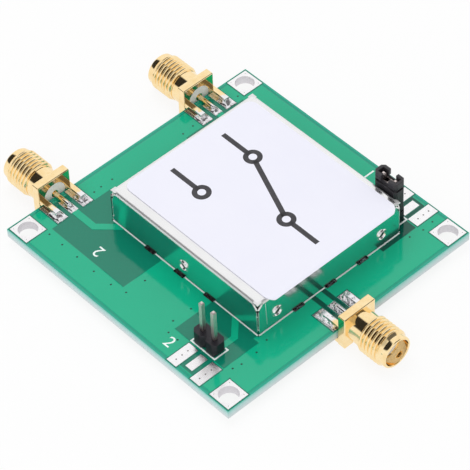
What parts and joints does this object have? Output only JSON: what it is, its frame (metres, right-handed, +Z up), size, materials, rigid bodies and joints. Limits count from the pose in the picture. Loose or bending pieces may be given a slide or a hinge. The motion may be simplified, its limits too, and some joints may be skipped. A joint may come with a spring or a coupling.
{
  "type": "rf switch module",
  "caption": "Square green circuit board with gold coaxial edge jacks, a labelled metal shield can and small pin headers, for switching a radio signal between outputs.",
  "frame": {"origin": "centre of the four mounting holes on the underside of the board", "axes": "+X towards the input jack, +Y towards the header that wears the jumper cap, +Z up out of the component side"},
  "size_m": [0.069, 0.05, 0.0116],
  "materials": {
    "board": "glossy green solder mask on glass laminate",
    "tinned_copper": "bright tinned copper",
    "masked_copper": "copper under green solder mask",
    "solder": "bright solder",
    "tinplate": "bright tinned steel sheet",
    "label_paper": "matte white label",
    "gold_plate": "gold plate on brass",
    "white_insulator": "white fluoropolymer",
    "black_plastic": "black moulded plastic",
    "pin_metal": "tinned brass",
    "chip_plastic": "black moulding compound",
    "capacitor_ceramic": "tan ceramic"
  },
  "bodies": {
    "board": {"blocking_capacitor_bodies": "capacitor_ceramic", "blocking_capacitor_ends": "pin_metal", "bypass_capacitor_bodies": "capacitor_ceramic", "bypass_capacitor_ends": "pin_metal", "circuit_board": "board", "control1_header_base": "black_plastic", "control1_header_pads": "tinned_copper", "control1_header_pins": "pin_metal", "control1_header_solder": "solder", "control2_header_base": "black_plastic", "control2_header_pads": "tinned_copper", "control2_header_pins": "pin_metal", "control2_header_solder": "solder", "fence_pads": "tinned_copper", "fence_solder": "solder", "input_jack_body": "gold_plate", "input_jack_contact": "gold_plate", "input_jack_insulator": "white_insulator", "input_jack_solder": "solder", "jack_pads": "tinned_copper", "mounting_pads": "tinned_copper", "output1_jack_body": "gold_plate", "output1_jack_contact": "gold_plate", "output1_jack_insulator": "white_insulator", "output1_jack_solder": "solder", "output2_jack_body": "gold_plate", "output2_jack_contact": "gold_plate", "output2_jack_insulator": "white_insulator", "output2_jack_solder": "solder", "shield_fence": "tinplate", "signal_tracks": "masked_copper", "spare_jack_pads": "tinned_copper", "switch_chip_leads": "pin_metal", "switch_chip_package": "chip_plastic"},
    "lid": {"shield_lid": "tinplate", "lid_label": "label_paper"},
    "jumper": {"jumper_housing": "black_plastic", "jumper_spring": "pin_metal"}
  },
  "joints": [
    {"name": "lid_lift", "type": "slide", "parent": "board", "child": "lid", "axis": [0, 0, 1], "range_m": [0, 0.012]},
    {"name": "jumper_pull", "type": "slide", "parent": "board", "child": "jumper", "axis": [0, 0, 1], "range_m": [0, 0.009]}
  ]
}
